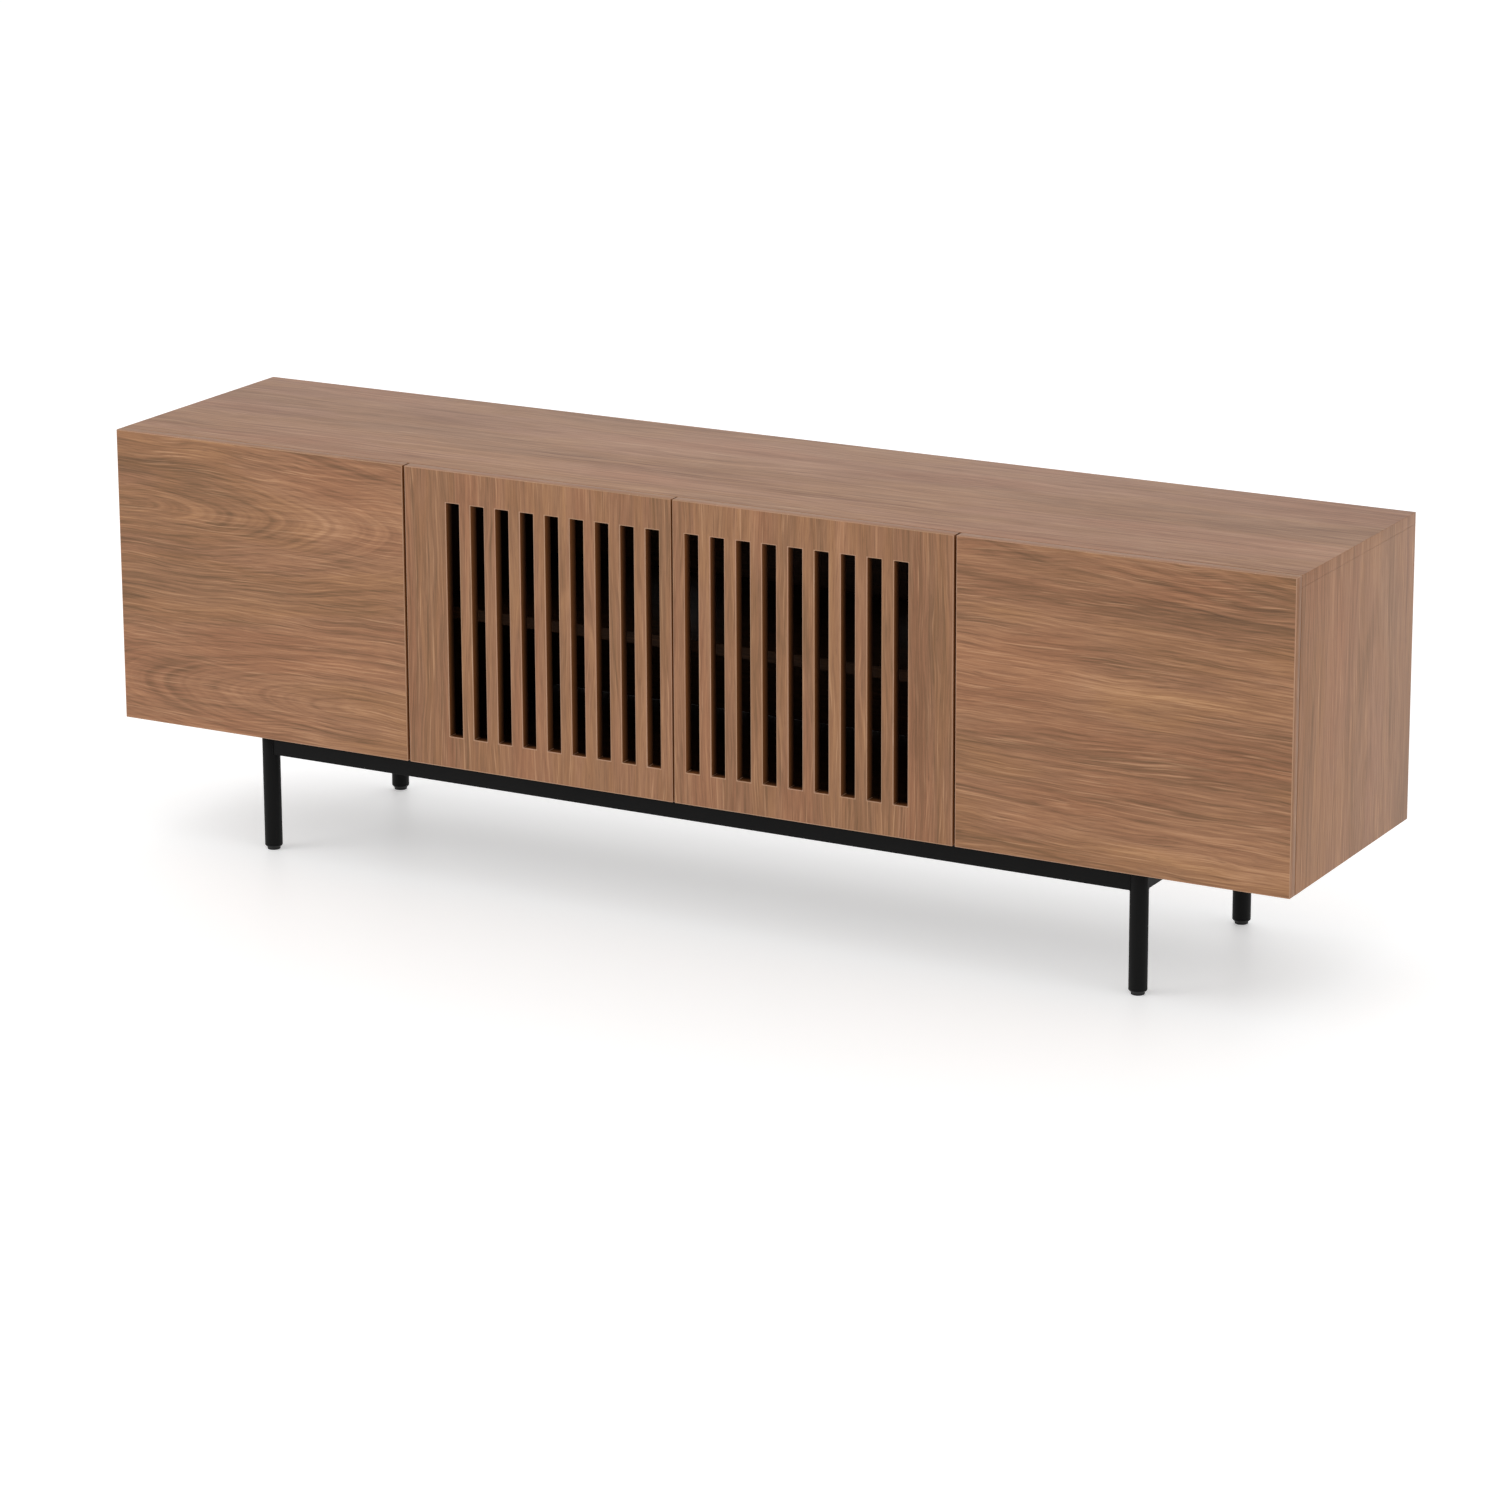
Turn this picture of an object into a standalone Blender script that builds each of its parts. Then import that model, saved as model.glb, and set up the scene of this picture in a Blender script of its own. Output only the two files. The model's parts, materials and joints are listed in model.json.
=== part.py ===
"""Media cabinet: a long veneered box with four push-to-open doors on a black steel frame.

The cabinet stands on z = 0, centred on x and y. Its doors face -Y and +X is to the right.
All sizes are in metres.
"""

import math

import bmesh
import bpy
from mathutils import Matrix, Vector

# Driving dimensions of the whole cabinet
WIDTH = 2.000
DEPTH = 0.440
BOX_HEIGHT = 0.468
LEG_HEIGHT = 0.192
TOTAL_HEIGHT = BOX_HEIGHT + LEG_HEIGHT

# Boards, doors and the gaps between them
BOARD = 0.018
DOOR_THICKNESS = 0.018
DOOR_TO_CARCASS = 0.0015
FIT_GAP = 0.0003
OUTER_DOOR_WIDTH = 0.529
DOOR_REVEAL = 0.004
CENTRE_REVEAL = 0.003
ARRIS = 0.0008

# Routed slots of the two middle doors
SLOT_COUNT = 9
SLOT_WIDTH = 0.0234
SLAT_WIDTH = 0.0202
SLOT_RAIL = 0.050
MEETING_STILE = 0.020

# Inside of the box
BACK_THICKNESS = 0.006
BACK_RECESS = 0.004
SHELF_FRONT_SETBACK = 0.025
SHELF_REAR_GAP = 0.025
SHELF_SIDE_GAP = 0.001
CABLE_HOLE_RADIUS = 0.030
CABLE_HOLE_DROP = 0.080
CABLE_HOLES_X = (-0.735, -0.230, 0.230, 0.735)
PIN_RADIUS = 0.0025
PIN_LENGTH = 0.009
PIN_END_INSET = 0.050

# Concealed cup hinges
HINGE_END_INSET = 0.095
HINGE_AXIS_INSET = 0.001
HINGE_AXIS_DEPTH = 0.002
CUP_RADIUS = 0.0175
CUP_DEPTH = 0.0115
CUP_EDGE_TO_CENTRE = 0.0225
CUP_WALL = 0.0015
CUP_FLANGE_LENGTH = 0.052
CUP_FLANGE_WIDTH = 0.016
CUP_FLANGE_THICKNESS = 0.001
CUP_FLANGE_OFFSET = 0.006
ARM_LENGTH = 0.062
ARM_WIDTH = 0.013
ARM_HEIGHT = 0.011
ARM_FRONT_SETBACK = 0.0035
ARM_SEAT = 0.001
PLATE_LENGTH = 0.044
PLATE_HEIGHT = 0.050
PLATE_THICKNESS = 0.003

# Push-to-open latches
LATCH_WIDTH = 0.014
LATCH_HEIGHT = 0.014
LATCH_LENGTH = 0.076
LATCH_EDGE_INSET = 0.030
PLUNGER_RADIUS = 0.0035
PLUNGER_CLEARANCE = 0.0004
PLUNGER_LENGTH = 0.060
PLUNGER_END_ROOM = 0.004
PLUNGER_TIP_GAP = 0.0004

# Steel frame under the box
LEG_RADIUS = 0.014
TUBE_WALL = 0.002
LEG_END_INSET = 0.250
LEG_FRONT_INSET = 0.038
LEG_REAR_INSET = 0.030
RAIL_WIDTH = 0.020
RAIL_HEIGHT = 0.034
RAIL_WALL = 0.0015
GLIDE_PAD_RADIUS = 0.0103
GLIDE_PAD_HEIGHT = 0.0035
GLIDE_HEIGHT = 0.0078
GLIDE_STEM_LENGTH = 0.016
GLIDE_STEM_RADIUS = 0.0115

# Places worked out from the dimensions above
FRONT_Y = -DEPTH / 2
BACK_Y = DEPTH / 2
CARCASS_FRONT_Y = FRONT_Y + DOOR_THICKNESS + DOOR_TO_CARCASS
BOX_BOTTOM_Z = LEG_HEIGHT
INNER_FLOOR_Z = BOX_BOTTOM_Z + BOARD
INNER_CEILING_Z = TOTAL_HEIGHT - BOARD
INNER_MIDDLE_Z = (INNER_FLOOR_Z + INNER_CEILING_Z) / 2
SIDE_INNER_X = WIDTH / 2 - BOARD
PARTITION_X = WIDTH / 2 - OUTER_DOOR_WIDTH - DOOR_REVEAL / 2
BACK_PANEL_FRONT_Y = BACK_Y - BACK_RECESS - BACK_THICKNESS
MIDDLE_DOOR_OUTER_X = WIDTH / 2 - OUTER_DOOR_WIDTH - DOOR_REVEAL
MIDDLE_DOOR_INNER_X = CENTRE_REVEAL / 2
LEG_X = WIDTH / 2 - LEG_END_INSET
LEG_FRONT_Y = FRONT_Y + LEG_FRONT_INSET
LEG_REAR_Y = BACK_Y - LEG_REAR_INSET

SMOOTH_ANGLE = math.radians(40)
ROUND_SEGMENTS = 32


# ---------------------------------------------------------------- scene helpers

def clear_scene():
    for thing in list(bpy.data.objects):
        bpy.data.objects.remove(thing, do_unlink=True)


def new_collection(name):
    collection = bpy.data.collections.new(name)
    bpy.context.scene.collection.children.link(collection)
    return collection


def finish(name, red, green, blue, roughness, metallic=0.0):
    """A plain Principled material of one colour."""
    material = bpy.data.materials.new(name)
    material.use_nodes = True
    shader = material.node_tree.nodes["Principled BSDF"]
    shader.inputs["Base Color"].default_value = (red, green, blue, 1.0)
    shader.inputs["Roughness"].default_value = roughness
    shader.inputs["Metallic"].default_value = metallic
    material.diffuse_color = (red, green, blue, 1.0)
    return material


def mesh_object(name, shape, material, collection, location=(0, 0, 0)):
    """Turns a bmesh into a named object standing at location."""
    mesh = bpy.data.meshes.new(name)
    bmesh.ops.recalc_face_normals(shape, faces=shape.faces)
    shape.to_mesh(mesh)
    shape.free()
    piece = bpy.data.objects.new(name, mesh)
    piece.location = location
    if material:
        mesh.materials.append(material)
    collection.objects.link(piece)
    return piece


def box_between(name, low, high, material, collection):
    """A rectangular block between two corners, with its origin at its middle."""
    low, high = Vector(low), Vector(high)
    shape = bmesh.new()
    bmesh.ops.create_cube(shape, size=1.0)
    bmesh.ops.scale(shape, vec=high - low, verts=shape.verts)
    return mesh_object(name, shape, material, collection, (low + high) / 2)


def rod(name, radius, length, axis, centre, material, collection, segments=ROUND_SEGMENTS):
    """A round bar of one radius along X, Y or Z, centred on centre."""
    shape = bmesh.new()
    bmesh.ops.create_cone(shape, cap_ends=True, segments=segments,
                          radius1=radius, radius2=radius, depth=length)
    turn = Vector((0, 0, 1)).rotation_difference(Vector(axis)).to_matrix()
    bmesh.ops.rotate(shape, cent=(0, 0, 0), matrix=turn, verts=shape.verts)
    piece = mesh_object(name, shape, material, collection, centre)
    piece.data.shade_smooth()
    piece.data.set_sharp_from_angle(angle=SMOOTH_ANGLE)
    return piece


def cutter(piece):
    """Marks a piece as a guide that only cuts others."""
    piece.hide_render = True
    piece.display_type = "WIRE"
    return piece


def combine(piece, tool, operation="DIFFERENCE"):
    change = piece.modifiers.new(operation.title(), "BOOLEAN")
    change.operation = operation
    change.object = tool
    return change


def ease_edges(piece, width=ARRIS, segments=1):
    """Breaks the sharp corners of a board with a small flat arris."""
    bevel = piece.modifiers.new("Arris", "BEVEL")
    bevel.width = width
    bevel.segments = segments
    bevel.limit_method = "ANGLE"
    bevel.angle_limit = math.radians(60)
    return bevel


def parent_to(piece, holder):
    """Hangs a placed piece on an empty without moving it."""
    piece.parent = holder
    piece.matrix_parent_inverse = Matrix.Translation(-holder.location)


def turned(name, profile, location, material, collection):
    """A solid turned about Z from an outline of (radius, height) points, top to bottom."""
    shape = bmesh.new()
    points = [shape.verts.new((radius, 0, height)) for radius, height in profile]
    for start, end in zip(points, points[1:]):
        shape.edges.new((start, end))
    mesh = bpy.data.meshes.new(name)
    shape.to_mesh(mesh)
    shape.free()
    mesh.materials.append(material)
    piece = bpy.data.objects.new(name, mesh)
    piece.location = location
    screw = piece.modifiers.new("Turn", "SCREW")
    screw.steps = ROUND_SEGMENTS
    screw.render_steps = ROUND_SEGMENTS
    screw.use_merge_vertices = True
    screw.merge_threshold = 0.0001
    screw.use_smooth_shade = True
    collection.objects.link(piece)
    return piece


# ---------------------------------------------------------------- the box

def build_boards(parts, wood):
    """Top, floor, ends and partitions; the top laps over the ends."""
    half = WIDTH / 2
    board = box_between("top_panel", (-half, CARCASS_FRONT_Y, INNER_CEILING_Z),
                        (half, BACK_Y, TOTAL_HEIGHT), wood, parts)
    ease_edges(board)
    floor_x = SIDE_INNER_X - FIT_GAP
    board = box_between("bottom_panel", (-floor_x, CARCASS_FRONT_Y, BOX_BOTTOM_Z),
                        (floor_x, BACK_Y, INNER_FLOOR_Z), wood, parts)
    ease_edges(board)
    for side, sign in (("left", -1), ("right", 1)):
        inner, outer = sorted((sign * SIDE_INNER_X, sign * half))
        board = box_between(f"side_panel_{side}", (inner, CARCASS_FRONT_Y, BOX_BOTTOM_Z),
                            (outer, BACK_Y, INNER_CEILING_Z - FIT_GAP), wood, parts)
        ease_edges(board)
        middle = sign * PARTITION_X
        board = box_between(f"partition_{side}",
                            (middle - BOARD / 2, CARCASS_FRONT_Y, INNER_FLOOR_Z + FIT_GAP),
                            (middle + BOARD / 2, BACK_PANEL_FRONT_Y - FIT_GAP,
                             INNER_CEILING_Z - FIT_GAP), wood, parts)
        ease_edges(board)


def build_back(parts, cutters, wood):
    """Thin back let in between the boards, with a round cable hole in each bay."""
    panel = box_between("back_panel",
                        (-SIDE_INNER_X + FIT_GAP, BACK_PANEL_FRONT_Y, INNER_FLOOR_Z + FIT_GAP),
                        (SIDE_INNER_X - FIT_GAP, BACK_Y - BACK_RECESS,
                         INNER_CEILING_Z - FIT_GAP), wood, parts)
    for index, x in enumerate(CABLE_HOLES_X):
        centre = (x, BACK_PANEL_FRONT_Y + BACK_THICKNESS / 2, INNER_CEILING_Z - CABLE_HOLE_DROP)
        drill = rod(f"cable_drill_{index}", CABLE_HOLE_RADIUS, 4 * BACK_THICKNESS, (0, 1, 0),
                    centre, None, cutters)
        combine(panel, cutter(drill))


def bay_limits(bay):
    """Inner faces of a bay along X."""
    wall = PARTITION_X + BOARD / 2
    if bay == "centre":
        return -(PARTITION_X - BOARD / 2), PARTITION_X - BOARD / 2
    if bay == "left":
        return -SIDE_INNER_X, -wall
    return wall, SIDE_INNER_X


def build_shelves(parts, wood, steel):
    """One shelf a bay. The wide centre one is doweled in; the others lie on pins."""
    front = CARCASS_FRONT_Y + SHELF_FRONT_SETBACK
    back = BACK_PANEL_FRONT_Y - SHELF_REAR_GAP
    low, high = INNER_MIDDLE_Z - BOARD / 2, INNER_MIDDLE_Z + BOARD / 2
    for bay in ("left", "centre", "right"):
        start, end = bay_limits(bay)
        gap = FIT_GAP if bay == "centre" else SHELF_SIDE_GAP
        shelf = box_between(f"shelf_{bay}", (start + gap, front, low), (end - gap, back, high),
                            wood, parts)
        ease_edges(shelf)
        if bay == "centre":
            continue
        for wall, inward in ((start, 1), (end, -1)):
            for place, y in (("front", front + PIN_END_INSET), ("rear", back - PIN_END_INSET)):
                wall_name = "outer" if abs(wall) > PARTITION_X + BOARD else "inner"
                build_pin(f"shelf_pin_{bay}_{wall_name}_{place}", wall, inward, y,
                          low - PIN_RADIUS - FIT_GAP, parts, steel)


def build_pin(name, wall, inward, y, z, parts, steel):
    """A round steel pin that stands out of a bay's wall under the shelf."""
    centre = (wall + inward * (PIN_LENGTH / 2 + FIT_GAP), y, z)
    rod(name, PIN_RADIUS, PIN_LENGTH, (1, 0, 0), centre, steel, parts, segments=16)


# ---------------------------------------------------------------- doors

def door_span(side, kind):
    """Lowest and highest x of a door; side is -1 or 1."""
    if kind == "solid":
        near, far = WIDTH / 2 - OUTER_DOOR_WIDTH, WIDTH / 2
    else:
        near, far = MIDDLE_DOOR_INNER_X, MIDDLE_DOOR_OUTER_X
    return sorted((side * near, side * far))


def hinge_empty(name, side, kind, collection):
    """An empty on the door's hinge axis, just inside its outer front corner."""
    low, high = door_span(side, kind)
    x = low + HINGE_AXIS_INSET if side < 0 else high - HINGE_AXIS_INSET
    holder = bpy.data.objects.new(f"{name}_hinge_axis", None)
    holder.location = (x, FRONT_Y + HINGE_AXIS_DEPTH, (BOX_BOTTOM_Z + TOTAL_HEIGHT) / 2)
    collection.objects.link(holder)
    return holder


def build_door(name, side, kind, parts, cutters, wood):
    """A full overlay door with its hinge cup pockets, and slots in the slatted kind."""
    low, high = door_span(side, kind)
    door = box_between(name, (low, FRONT_Y, BOX_BOTTOM_Z),
                       (high, FRONT_Y + DOOR_THICKNESS, TOTAL_HEIGHT), wood, parts)
    if kind == "slatted":
        pitch = SLOT_WIDTH + SLAT_WIDTH
        for index in range(SLOT_COUNT):
            near = MIDDLE_DOOR_INNER_X + MEETING_STILE + index * pitch
            start, end = sorted((side * near, side * (near + SLOT_WIDTH)))
            slot = box_between(f"{name}_slot_{index}",
                               (start, FRONT_Y - BOARD, BOX_BOTTOM_Z + SLOT_RAIL),
                               (end, CARCASS_FRONT_Y + BOARD, TOTAL_HEIGHT - SLOT_RAIL),
                               None, cutters)
            combine(door, cutter(slot))
    ease_edges(door)
    for place, z in hinge_heights():
        centre = (cup_x(side, kind), FRONT_Y + DOOR_THICKNESS, z)
        pocket = rod(f"{name}_{place}_pocket", CUP_RADIUS + FIT_GAP,
                     2 * (CUP_DEPTH + FIT_GAP), (0, 1, 0), centre, None, cutters)
        combine(door, cutter(pocket))
    return door


def hinge_heights():
    return (("lower", BOX_BOTTOM_Z + HINGE_END_INSET), ("upper", TOTAL_HEIGHT - HINGE_END_INSET))


def cup_x(side, kind):
    low, high = door_span(side, kind)
    return low + CUP_EDGE_TO_CENTRE if side < 0 else high - CUP_EDGE_TO_CENTRE


def build_hinge_cup(name, side, kind, z, parts, cutters, steel):
    """The pressed cup let into the door, with a flange on the door's back for its two screws."""
    seat_y = FRONT_Y + DOOR_THICKNESS + FIT_GAP
    rim_y = seat_y + CUP_FLANGE_THICKNESS
    bottom_y = FRONT_Y + DOOR_THICKNESS - CUP_DEPTH
    x = cup_x(side, kind)
    cup = rod(name, CUP_RADIUS, rim_y - bottom_y, (0, 1, 0), (x, (rim_y + bottom_y) / 2, z),
              steel, parts)
    flange_x = x - side * CUP_FLANGE_OFFSET
    flange = box_between(f"{name}_flange",
                         (flange_x - CUP_FLANGE_WIDTH / 2, seat_y, z - CUP_FLANGE_LENGTH / 2),
                         (flange_x + CUP_FLANGE_WIDTH / 2, rim_y, z + CUP_FLANGE_LENGTH / 2),
                         None, cutters)
    combine(cup, cutter(flange), "UNION")
    hollow = rod(f"{name}_hollow", CUP_RADIUS - CUP_WALL, 2 * (rim_y - bottom_y - CUP_WALL),
                 (0, 1, 0), (x, rim_y, z), None, cutters)
    combine(cup, cutter(hollow))
    return cup


def build_hinge_arm(name, side, kind, z, parts, cutters, steel):
    """Mounting plate on the carcass wall, with the arm lying along it."""
    if kind == "solid":
        wall = side * SIDE_INNER_X
    else:
        wall = side * (PARTITION_X - BOARD / 2)
    inward = -side
    front = CARCASS_FRONT_Y + ARM_FRONT_SETBACK
    plate_far = wall + inward * PLATE_THICKNESS
    low_x, high_x = sorted((wall + inward * FIT_GAP, plate_far))
    plate_start = front + (ARM_LENGTH - PLATE_LENGTH)
    plate = box_between(name, (low_x, plate_start, z - PLATE_HEIGHT / 2),
                        (high_x, plate_start + PLATE_LENGTH, z + PLATE_HEIGHT / 2), steel, parts)
    arm_x = sorted((wall + inward * (PLATE_THICKNESS - ARM_SEAT),
                    wall + inward * (PLATE_THICKNESS + ARM_HEIGHT)))
    arm = box_between(f"{name}_arm", (arm_x[0], front, z - ARM_WIDTH / 2),
                      (arm_x[1], front + ARM_LENGTH, z + ARM_WIDTH / 2), None, cutters)
    combine(plate, cutter(arm), "UNION")
    return plate


def build_doors(parts, cutters, wood, steel):
    """Four doors, each with two cups that ride on it and two arms on the carcass."""
    for side, side_name in ((-1, "left"), (1, "right")):
        for kind in ("solid", "slatted"):
            name = f"door_{kind}_{side_name}"
            holder = hinge_empty(name, side, kind, cutters)
            door = build_door(name, side, kind, parts, cutters, wood)
            parent_to(door, holder)
            for place, z in hinge_heights():
                cup = build_hinge_cup(f"hinge_cup_{kind}_{side_name}_{place}", side, kind, z,
                                      parts, cutters, steel)
                parent_to(cup, holder)
                build_hinge_arm(f"hinge_arm_{kind}_{side_name}_{place}", side, kind, z,
                                parts, cutters, steel)


# ---------------------------------------------------------------- push latches

def build_latches(parts, cutters, plastic, steel):
    """A latch under the top panel at each door's free edge, with a sprung plunger."""
    z = INNER_CEILING_Z - FIT_GAP - LATCH_HEIGHT / 2
    free_edges = {"solid": PARTITION_X + BOARD / 2 + LATCH_EDGE_INSET,
                  "slatted": MIDDLE_DOOR_INNER_X + LATCH_EDGE_INSET}
    for side, side_name in ((-1, "left"), (1, "right")):
        for kind, distance in free_edges.items():
            x = side * distance
            front = CARCASS_FRONT_Y + FIT_GAP
            body = box_between(f"latch_body_{kind}_{side_name}",
                               (x - LATCH_WIDTH / 2, front, z - LATCH_HEIGHT / 2),
                               (x + LATCH_WIDTH / 2, front + LATCH_LENGTH, z + LATCH_HEIGHT / 2),
                               plastic, parts)
            bore_length = PLUNGER_LENGTH + PLUNGER_END_ROOM
            bore = rod(f"latch_bore_{kind}_{side_name}", PLUNGER_RADIUS + PLUNGER_CLEARANCE,
                       2 * bore_length, (0, 1, 0), (x, front, z), None, cutters, segments=24)
            combine(body, cutter(bore))
            tip = FRONT_Y + DOOR_THICKNESS + PLUNGER_TIP_GAP
            rod(f"latch_plunger_{kind}_{side_name}", PLUNGER_RADIUS, PLUNGER_LENGTH, (0, 1, 0),
                (x, tip + PLUNGER_LENGTH / 2, z), steel, parts, segments=24)


# ---------------------------------------------------------------- steel frame

def build_rail(name, start, end, parts, cutters, steel, cope_ends):
    """A box-section rail between two leg centres, coped round the legs."""
    start, end = Vector(start), Vector(end)
    along = (end - start).normalized()
    across = Vector((abs(along.y), abs(along.x), 0))
    reach = LEG_RADIUS * 0.5
    low = start + along * reach - across * RAIL_WIDTH / 2 - Vector((0, 0, RAIL_HEIGHT / 2))
    high = end - along * reach + across * RAIL_WIDTH / 2 + Vector((0, 0, RAIL_HEIGHT / 2))
    rail = box_between(name, low, high, steel, parts)
    inner = Vector((0, 0, RAIL_WALL)) + across * RAIL_WALL
    hollow = box_between(f"{name}_hollow", low + inner - along * LEG_RADIUS,
                         high - inner + along * LEG_RADIUS, None, cutters)
    combine(rail, cutter(hollow))
    for cope in cope_ends:
        combine(rail, cope)
    return rail


def build_frame(parts, cutters, steel, plastic):
    """Four round tube legs joined by four box rails, each leg on a plastic glide."""
    rail_z = BOX_BOTTOM_Z - FIT_GAP - RAIL_HEIGHT / 2
    corners = {("front", "left"): (-LEG_X, LEG_FRONT_Y), ("front", "right"): (LEG_X, LEG_FRONT_Y),
               ("rear", "left"): (-LEG_X, LEG_REAR_Y), ("rear", "right"): (LEG_X, LEG_REAR_Y)}
    copes = {}
    for (row, side), (x, y) in corners.items():
        top, bottom = BOX_BOTTOM_Z - FIT_GAP, GLIDE_HEIGHT + FIT_GAP
        middle = (x, y, (top + bottom) / 2)
        leg = rod(f"leg_{row}_{side}", LEG_RADIUS, top - bottom, (0, 0, 1), middle, steel, parts,
                  segments=48)
        hollow = rod(f"leg_hollow_{row}_{side}", LEG_RADIUS - TUBE_WALL, LEG_HEIGHT * 2,
                     (0, 0, 1), middle, None, cutters, segments=48)
        combine(leg, cutter(hollow))
        copes[row, side] = cutter(rod(f"leg_cope_{row}_{side}", LEG_RADIUS + FIT_GAP,
                                      LEG_HEIGHT, (0, 0, 1), (x, y, rail_z), None, cutters,
                                      segments=48))
        build_glide(f"glide_{row}_{side}", x, y, parts, plastic)
    runs = {"rail_front": (("front", "left"), ("front", "right")),
            "rail_rear": (("rear", "left"), ("rear", "right")),
            "rail_left": (("front", "left"), ("rear", "left")),
            "rail_right": (("front", "right"), ("rear", "right"))}
    for name, (first, last) in runs.items():
        start, end = (*corners[first], rail_z), (*corners[last], rail_z)
        build_rail(name, start, end, parts, cutters, steel, (copes[first], copes[last]))


def build_glide(name, x, y, parts, plastic):
    """Plastic foot: a stem up the tube, a collar of the tube's size, a cone and a pad."""
    stem_top = GLIDE_HEIGHT + GLIDE_STEM_LENGTH
    profile = [(0, stem_top), (GLIDE_STEM_RADIUS, stem_top), (GLIDE_STEM_RADIUS, GLIDE_HEIGHT),
               (LEG_RADIUS, GLIDE_HEIGHT), (GLIDE_PAD_RADIUS, GLIDE_PAD_HEIGHT),
               (GLIDE_PAD_RADIUS, 0), (0, 0)]
    turned(name, profile, (x, y, 0), plastic, parts)


# ---------------------------------------------------------------- whole cabinet

clear_scene()
PARTS = new_collection("media_cabinet")
CUTTERS = new_collection("cutters")
WALNUT = finish("walnut_veneer", 0.30, 0.16, 0.09, 0.5)
BLACK_STEEL = finish("black_powder_coated_steel", 0.02, 0.02, 0.02, 0.5)
NICKEL = finish("nickel_plated_steel", 0.60, 0.59, 0.57, 0.3, 1.0)
BLACK_PLASTIC = finish("black_plastic", 0.02, 0.02, 0.02, 0.6)
GREY_PLASTIC = finish("grey_plastic", 0.25, 0.25, 0.25, 0.5)

build_boards(PARTS, WALNUT)
build_back(PARTS, CUTTERS, WALNUT)
build_shelves(PARTS, WALNUT, NICKEL)
build_doors(PARTS, CUTTERS, WALNUT, NICKEL)
build_latches(PARTS, CUTTERS, GREY_PLASTIC, NICKEL)
build_frame(PARTS, CUTTERS, BLACK_STEEL, BLACK_PLASTIC)
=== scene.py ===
"""Looks of the media cabinet: walnut veneer, black powder-coated steel and nickel fittings.

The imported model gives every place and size. Each board, door, tube and fitting is made again
here with its fine edges, and gets the finish of the real material. Metres, +Z up, doors to -Y.
"""

import json
import math

import bmesh
import bpy
from mathutils import Matrix, Vector

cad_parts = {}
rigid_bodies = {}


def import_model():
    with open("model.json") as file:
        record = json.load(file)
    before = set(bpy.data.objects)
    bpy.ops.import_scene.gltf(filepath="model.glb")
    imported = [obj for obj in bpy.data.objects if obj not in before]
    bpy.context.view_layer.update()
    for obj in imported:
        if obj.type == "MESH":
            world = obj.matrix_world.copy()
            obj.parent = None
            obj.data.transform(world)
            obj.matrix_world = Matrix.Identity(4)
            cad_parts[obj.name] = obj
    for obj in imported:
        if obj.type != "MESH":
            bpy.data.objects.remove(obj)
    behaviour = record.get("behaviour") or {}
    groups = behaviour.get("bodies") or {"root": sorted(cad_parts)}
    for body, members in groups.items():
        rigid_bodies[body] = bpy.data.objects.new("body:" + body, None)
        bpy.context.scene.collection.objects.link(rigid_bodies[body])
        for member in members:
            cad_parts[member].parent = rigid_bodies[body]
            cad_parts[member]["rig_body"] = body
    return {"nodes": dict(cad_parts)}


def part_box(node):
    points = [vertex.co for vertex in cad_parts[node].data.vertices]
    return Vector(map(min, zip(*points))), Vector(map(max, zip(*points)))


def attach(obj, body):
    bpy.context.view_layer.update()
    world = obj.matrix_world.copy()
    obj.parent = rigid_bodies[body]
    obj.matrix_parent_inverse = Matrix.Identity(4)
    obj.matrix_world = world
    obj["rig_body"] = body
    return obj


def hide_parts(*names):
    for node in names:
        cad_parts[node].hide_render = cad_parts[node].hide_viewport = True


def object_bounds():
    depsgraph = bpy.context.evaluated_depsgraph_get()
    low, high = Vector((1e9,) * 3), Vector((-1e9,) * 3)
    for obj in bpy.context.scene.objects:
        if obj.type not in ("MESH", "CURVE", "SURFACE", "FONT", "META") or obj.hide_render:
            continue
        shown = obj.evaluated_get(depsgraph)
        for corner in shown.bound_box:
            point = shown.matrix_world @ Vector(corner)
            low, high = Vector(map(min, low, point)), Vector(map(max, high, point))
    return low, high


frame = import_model()
CAD_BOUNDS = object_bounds()

MM = 0.001
CABINET = "cabinet"
SIDES = (("left", -1), ("right", 1))
UNIT = {"x": Vector((1, 0, 0)), "y": Vector((0, 1, 0)), "z": Vector((0, 0, 1))}


# ---------------------------------------------------------------- colours and nodes

def linear(hex_colour, alpha=1.0):
    """Linear RGBA of an sRGB hex colour such as "9a7052"."""
    parts = [int(hex_colour[i:i + 2], 16) / 255 for i in (0, 2, 4)]
    return (*(c / 12.92 if c <= 0.04045 else ((c + 0.055) / 1.055) ** 2.4 for c in parts), alpha)


def add_node(tree, kind, settings=None, links=None, stops=()):
    """Adds a node. Settings are attributes or input values, links feed inputs by name or number,
    and stops are the (position, hex colour) pairs of a colour ramp."""
    node = tree.nodes.new(kind)
    for key, value in (settings or {}).items():
        if isinstance(key, str) and hasattr(node, key):
            setattr(node, key, value)
        else:
            node.inputs[key].default_value = value
    for key, source in (links or {}).items():
        tree.links.new(source, node.inputs[key])
    for index, (position, colour) in enumerate(stops):
        ramp = node.color_ramp.elements
        stop = ramp[index] if index < len(ramp) else ramp.new(position)
        stop.position = position
        stop.color = linear(colour)
    return node


def new_material(name, hex_colour, roughness, metallic=0.0, specular=0.5):
    """A plain material, its node tree and its shader, ready for more nodes."""
    material = bpy.data.materials.new(name)
    material.use_nodes = True
    tree = material.node_tree
    shader = tree.nodes["Principled BSDF"]
    shader.inputs["Base Color"].default_value = linear(hex_colour)
    shader.inputs["Roughness"].default_value = roughness
    shader.inputs["Metallic"].default_value = metallic
    shader.inputs["Specular IOR Level"].default_value = specular
    return material, tree, shader


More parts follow.
